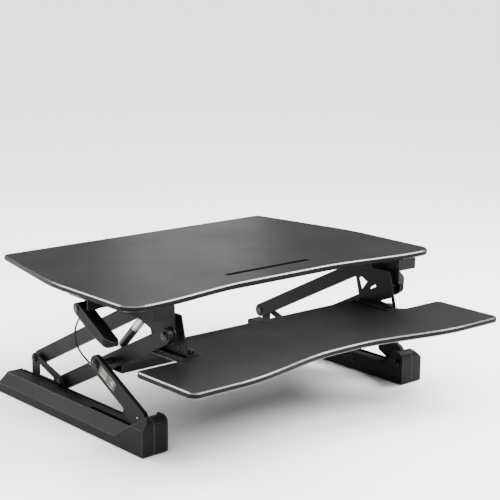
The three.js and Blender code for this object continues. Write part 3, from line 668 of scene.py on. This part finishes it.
def add_flange_screws(finishes):
    """Screws in the hangers' lower flanges, the lever brackets and the cross rails."""
    for side, sign in SIDES.items():
        low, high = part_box(f"tray_hanger_{side}")
        inner = min(abs(low.x), abs(high.x))
        for i, dy in enumerate(TRAY_SCREW_Y):
            spot = (inner + TRAY_SCREW_INSET, low.y + dy, low.z + FLANGE)
            bm = place(socket_head(4.2, 2.4), Matrix.Translation(spot) @ UPWARD)
            new_piece(f"tray_screw_{i}_{side}", bm, "bolt", "top_frame", finishes, sign)
        low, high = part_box(f"lever_bracket_{side}")
        inner = min(abs(low.x), abs(high.x))
        for i, (dx, dy) in enumerate(LEVER_SCREWS):
            spot = (inner + dx, low.y + dy, high.z - FLANGE)
            bm = place(socket_head(3.8, 2.2), Matrix.Translation(spot) @ DOWNWARD)
            new_piece(f"lever_bracket_screw_{i}_{side}", bm, "bolt", "top_frame", finishes, sign)
    for rail in ("cross_rail_front", "cross_rail_rear"):
        low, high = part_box(rail)
        for i, x in enumerate(RAIL_SCREW_X):
            spot = (x, (low.y + high.y) / 2, low.z)
            bm = place(socket_head(3.8, 2.2), Matrix.Translation(spot) @ DOWNWARD)
            new_piece(f"{rail}_screw_{i}", bm, "bolt", "top_frame", finishes)


def add_foot_bolts(finishes):
    """Bolts through each foot's inner wall that hold the channel and the cover."""
    for side, sign in SIDES.items():
        inner = min(abs(corner.x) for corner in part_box(f"foot_rail_{side}"))
        for i, (y, z) in enumerate(FOOT_BOLTS):
            bm = place(socket_head(5.2, 2.8), Matrix.Translation((inner, y, z)) @ INWARD)
            new_piece(f"foot_bolt_{i}_{side}", bm, "bolt", "base", finishes, sign)


# ---------------------------------------------------------------- gas spring

SPRING_LEAN = math.radians(0.7)
CYLINDER_LENGTH = 165  # from its pivot, in millimetres


def along_spring(start, end):
    """Matrix that lays a piece made along +X from the origin on the spring's line at start."""
    run = end - start
    heading = math.atan2(run.z, run.y) + SPRING_LEAN
    columns = Matrix((
        (0, math.cos(heading), math.sin(heading)),
        (0, -math.sin(heading), math.cos(heading)),
        (1, 0, 0),
    )).transposed()
    return Matrix.Translation(start) @ columns.to_4x4()


def eye_plate(radius, half_width):
    """A flat eye round the origin, with its neck towards +X. Its flat faces look along local Z."""
    bm = bmesh.new()
    outline = bar_outline((0, 0), (16 * MM, 0), radius * MM, 5.5 * MM)
    low = [bm.verts.new((u, v, -half_width * MM)) for u, v in outline]
    high = [bm.verts.new((u, v, half_width * MM)) for u, v in outline]
    bridge(bm, low, high)
    bm.faces.new(low)
    bm.faces.new(list(reversed(high)))
    return bm


def add_gas_spring(finishes):
    top = pivot("gas_cylinder_pivot")
    foot = pivot("gas_rod_pivot")
    down = along_spring(top, foot)
    up = along_spring(foot, top)
    body = turned([
        (14, 5.5),
        (14, 8.0),
        (15, 9.0),
        (16.5, 9.5),
        (CYLINDER_LENGTH - 9, 9.5),
        (CYLINDER_LENGTH - 8.4, 9.1),
        (CYLINDER_LENGTH - 7.0, 9.1),
        (CYLINDER_LENGTH - 6.4, 9.5),
        (CYLINDER_LENGTH - 1.6, 9.5),
        (CYLINDER_LENGTH - 0.4, 8.8),
        (CYLINDER_LENGTH, 7.9),
        (CYLINDER_LENGTH, 7.4),
        (CYLINDER_LENGTH - 3, 7.4),
        (CYLINDER_LENGTH - 3, 0.5),
    ], segments=48)
    new_piece("gas_cylinder_body", place(body, down), "dark_steel", "gas_cylinder", finishes,
              stands_for=("gas_cylinder",))
    new_piece("gas_cylinder_eye", place(eye_plate(8, 4), down), "dark_steel", "gas_cylinder",
              finishes, rounds=0.6)
    label = turned([(22, 9.45), (22, 9.72), (96, 9.72), (96, 9.45)], segments=48, sleeve=True)
    new_piece("gas_cylinder_label", place(label, down), "silver_label", "gas_cylinder", finishes)
    for i, (x0, x1) in enumerate(((26, 27), (58, 59), (90, 92))):
        band = turned([(x0, 9.65), (x0, 9.8), (x1, 9.8), (x1, 9.65)], segments=48, sleeve=True)
        new_piece(f"gas_label_band_{i}", place(band, down), "dark_steel", "gas_cylinder", finishes)
    rod = turned([(13, 4.0), (102.6, 4.0), (103.6, 3.4), (104, 2.5)], segments=40)
    new_piece("gas_rod_shaft", place(rod, up), "chrome", "gas_rod", finishes,
              stands_for=("gas_rod",))
    new_piece("gas_rod_eye", place(eye_plate(8, 4), up), "zinc_steel", "gas_rod", finishes,
              rounds=0.5)
    nut = turned([(17, 6.8, 6), (18, 7.4, 6), (22.5, 7.4, 6), (23.5, 6.8)], segments=36)
    new_piece("gas_rod_nut", place(nut, up), "zinc_steel", "gas_rod", finishes)


# ---------------------------------------------------------------- levers, knobs and cables

# In metres, as in the CAD: the tip's round, the grip's swell, and the tip's drop below the pivot.
LEVER_TIP_RADIUS = 0.008
LEVER_BELLY = 0.018
LEVER_TIP_DROP = 0.056
RIB_SINK = 0.0004

# Height in millimetres, share of the radius, and depth of the flutes.
KNOB_PROFILE = [
    (0.0, 0.86, 0.0), (0.8, 0.93, 0.05), (2.0, 1.0, 0.12), (7.5, 1.0, 0.12),
    (9.6, 0.90, 0.09), (10.8, 0.66, 0.02), (11.0, 0.40, 0.0), (10.4, 0.36, 0.0),
]
KNOB_HEIGHT = 11
KNOB_RADIUS = 9
KNOB_FLUTES = 8


def add_levers(finishes):
    """Grip ribs across the underside of each lever."""
    for side, sign in SIDES.items():
        low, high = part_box(f"release_lever_{side}")
        x0 = min(abs(low.x), abs(high.x))
        width = (high.x - low.x) / MM
        root = pivot(f"lever_squeeze_{side}")
        root_r = high.y - root.y
        tip = Vector((low.y + LEVER_TIP_RADIUS, root.z - LEVER_TIP_DROP))
        run = tip - Vector((root.y, root.z))
        under = Vector((-run.y, run.x)).normalized()
        for i in range(6):
            share = 0.40 + 0.07 * i
            reach = root_r + (LEVER_TIP_RADIUS - root_r) * share + LEVER_BELLY * share * (1 - share)
            spot = Vector((root.y, root.z)) + run * share + under * (reach - RIB_SINK)
            rib = turned([(5, 0.9), (5.5, 1.3), (width - 7.5, 1.3), (width - 7, 0.9)], segments=16)
            place(rib, Matrix.Translation((x0, spot.x, spot.y)))
            new_piece(f"lever_rib_{i}_{side}", rib, "lever_plastic", f"release_lever_{side}",
                      finishes, sign)


def add_knobs(finishes):
    """Fluted hand knobs that hold the tray to its hangers."""
    segments = KNOB_FLUTES * 8
    for side, sign in SIDES.items():
        low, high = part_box(f"tray_knob_{side}")
        centre = (low + high) / 2
        base = high.z - KNOB_HEIGHT * MM
        bm = bmesh.new()
        rings = []
        for height, reach, depth in KNOB_PROFILE:
            verts = []
            for i in range(segments):
                angle = 2 * math.pi * i / segments
                wave = 1 - depth * (0.5 + 0.5 * math.cos(KNOB_FLUTES * angle))
                radius = KNOB_RADIUS * MM * reach * wave
                spot = (
                    abs(centre.x) + radius * math.cos(angle),
                    centre.y + radius * math.sin(angle),
                    base + height * MM,
                )
                verts.append(bm.verts.new(spot))
            rings.append(verts)
        for first, second in zip(rings, rings[1:]):
            bridge(bm, first, second)
        bm.faces.new(rings[0])
        bm.faces.new(list(reversed(rings[-1])))
        new_piece(f"knob_grip_{side}", bm, "lever_plastic", f"tray_knob_{side}", finishes, sign,
                  smooth=50)
        stud = turned([(0, 2.4), (0.6, 3.0), ((base - low.z) / MM, 3.0)], segments=24)
        place(stud, Matrix.Translation((abs(centre.x), centre.y, low.z)) @ UPWARD)
        new_piece(f"knob_stud_{side}", stud, "zinc_steel", f"tray_knob_{side}", finishes, sign,
                  stands_for=(f"tray_knob_{side}",))


# Routes of the two cables, in metres, as in the CAD. The first is on the left side.
RELEASE_ROUTE = [
    (-0.410, 0.022, 0.270), (-0.409, 0.036, 0.262), (-0.408, 0.052, 0.253), (-0.406, 0.067, 0.241),
    (-0.403, 0.080, 0.227), (-0.400, 0.090, 0.212), (-0.396, 0.097, 0.196), (-0.391, 0.101, 0.180),
    (-0.385, 0.101, 0.165), (-0.378, 0.098, 0.151), (-0.370, 0.094, 0.139), (-0.362, 0.091, 0.129),
    (-0.355, 0.090, 0.122),
]
CROSSOVER_ROUTE = [
    (0.408, 0.024, 0.300), (0.394, 0.023, 0.304), (0.378, 0.021, 0.307), (0.360, 0.017, 0.309),
    (0.340, 0.013, 0.3095), (0.300, 0.008, 0.3095), (0.240, 0.005, 0.3095), (0.150, 0.004, 0.3095),
    (0.0, 0.004, 0.3095), (-0.150, 0.004, 0.3095), (-0.240, 0.005, 0.3095), (-0.300, 0.008, 0.3095),
    (-0.340, 0.013, 0.3095), (-0.360, 0.017, 0.309), (-0.378, 0.021, 0.307), (-0.394, 0.023, 0.304),
    (-0.408, 0.024, 0.300),
]
CABLE_RADIUS = 0.002
ROUTE_STEPS = 5


def smooth_route(points, steps):
    """A Catmull-Rom curve through the points, with this many steps between neighbours."""
    route = [Vector(p) for p in points]
    route = [route[0] * 2 - route[1], *route, route[-1] * 2 - route[-2]]
    path = []
    for i in range(1, len(route) - 2):
        a, b, c, d = route[i - 1:i + 3]
        for k in range(steps):
            t = k / steps
            path.append(0.5 * (
                2 * b + (c - a) * t + (2 * a - 5 * b + 4 * c - d) * t ** 2
                + (3 * b - a - 3 * c + d) * t ** 3
            ))
    path.append(route[-2])
    return path


def tube(path, radius, sides=14):
    bm = bmesh.new()
    rings = []
    up = Vector((0, 0, 1)) if abs((path[1] - path[0]).normalized().z) < 0.9 else Vector((0, 1, 0))
    for i, spot in enumerate(path):
        ahead = path[min(i + 1, len(path) - 1)] - path[max(i - 1, 0)]
        ahead.normalize()
        across = ahead.cross(up).normalized()
        up = across.cross(ahead).normalized()
        rings.append([
            bm.verts.new(spot + (across * math.cos(a) + up * math.sin(a)) * radius)
            for a in (2 * math.pi * k / sides for k in range(sides))
        ])
    for first, second in zip(rings, rings[1:]):
        bridge(bm, first, second)
    bm.faces.new(rings[0])
    bm.faces.new(list(reversed(rings[-1])))
    return bm


def ferrule(at, towards):
    """A crimped end barrel on a cable, from one point in a direction."""
    bm = turned([
        (-1.0, 2.3), (-1.0, 3.1), (2.5, 3.1), (3.0, 2.7), (3.6, 2.7), (4.1, 3.1),
        (8.5, 3.1), (9.2, 2.9), (11.0, 2.45), (11.0, 2.1),
    ], segments=28)
    direction = (Vector(towards) - Vector(at)).normalized()
    return place(bm, Matrix.Translation(at) @ direction.to_track_quat("X", "Z").to_matrix().to_4x4())


def add_cables(finishes):
    path = smooth_route(RELEASE_ROUTE, ROUTE_STEPS)
    cable = new_piece("release_cable_jacket", tube(path, CABLE_RADIUS), "cable_jacket", "top_frame",
                      finishes, stands_for=("release_cable",), smooth=60)
    cable.parent = None  # it runs between two bodies, so it may not ride on one
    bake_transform(cable)
    upper = ferrule(path[0], path[3])
    new_piece("release_cable_upper_end", upper, "zinc_steel", "top_frame", finishes)
    lower = ferrule(path[-1], path[-4])
    new_piece("release_cable_lower_end", lower, "zinc_steel", "lower_arms", finishes)
    path = smooth_route(CROSSOVER_ROUTE, ROUTE_STEPS)
    cable = new_piece("crossover_cable_jacket", tube(path, CABLE_RADIUS), "cable_jacket",
                      "top_frame", finishes, stands_for=("crossover_cable",), smooth=60)
    for name, at, towards in (("right", path[0], path[3]), ("left", path[-1], path[-4])):
        new_piece(f"crossover_cable_end_{name}", ferrule(at, towards), "zinc_steel", "top_frame",
                  finishes)


# ---------------------------------------------------------------- labels

def rounded_sheet(length, width, corner):
    """Outline of a sticker with round corners, along its first axis."""
    outline = []
    for sy, sz, first in ((1, 1, 0), (-1, 1, 90), (-1, -1, 180), (1, -1, 270)):
        for k in range(5):
            angle = math.radians(first + 22.5 * k)
            outline.append((
                sy * (length / 2 - corner) + corner * math.cos(angle),
                sz * (width / 2 - corner) + corner * math.sin(angle),
            ))
    return outline


# From the middle pivot to the label's centre, and from the foot pivot to the stud, in metres.
LABEL_FROM_TOP = 0.050
STUD_OFFSET = (0.039, 0.016)


def add_strut_label(finishes):
    """A dark sticker with a triangle and bars, and no lettering, on the left strut; a stud on both."""
    foot = pivot("lift")
    top = pivot("middle_pivot")
    run = top - foot
    heading = math.atan2(run.z, run.y)
    face = max(abs(corner.x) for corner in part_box("strut_left"))
    triangle = [(0.008, 0.0), (-0.006, 0.0075), (-0.006, -0.0075)]
    bar = rounded_sheet(0.020, 0.0016, 0.0005)
    shapes = [
        ("strut_label", "dark_label", rounded_sheet(0.064, 0.023, 0.0015), 0.0, 0.0, 0.0002),
        ("strut_label_triangle", "yellow_print", triangle, -0.018, 0.001, 0.0003),
        ("strut_label_stripe", "yellow_print", rounded_sheet(0.024, 0.0045, 0.0006),
         0.014, -0.006, 0.0003),
    ]
    for i in range(3):
        across = 0.008 - 0.0038 * i
        shapes.append((f"strut_label_bar_{i}", "pale_print", bar, 0.014, across, 0.0003))
    for i in range(2):
        across = -0.0095 + 0.019 * i
        shapes.append((f"strut_label_mark_{i}", "pale_print", bar, -0.016, across, 0.0003))
    centre = foot + run * (1 - LABEL_FROM_TOP / run.length)
    for name, slot, outline, along, across, lift in shapes:
        bm = extruded([(u + along, v + across) for u, v in outline], 0, lift)
        place(bm, Matrix.Rotation(heading, 4, "X"))
        place(bm, Matrix.Translation((face, centre.y, centre.z)))
        new_piece(name, bm, slot, "strut_left", finishes, side=-1)
    stud = turned([(0, 2.4), (0.9, 2.4), (1.3, 1.9), (1.5, 1.1)], segments=24)
    place(stud, Matrix.Translation((face, foot.y + STUD_OFFSET[0], foot.z + STUD_OFFSET[1])))
    new_piece("strut_stud_left", stud.copy(), "zinc_steel", "strut_left", finishes, side=-1)
    new_piece("strut_stud_right", stud, "zinc_steel", "strut_right", finishes)


# ---------------------------------------------------------------- the whole scene

add_camera()
add_stage()
finishes = make_finishes()
finish_cad_nodes(finishes)
add_cables(finishes)
add_pivot_bolts(finishes)
add_flange_screws(finishes)
add_foot_bolts(finishes)
add_gas_spring(finishes)
add_levers(finishes)
add_knobs(finishes)
add_strut_label(finishes)
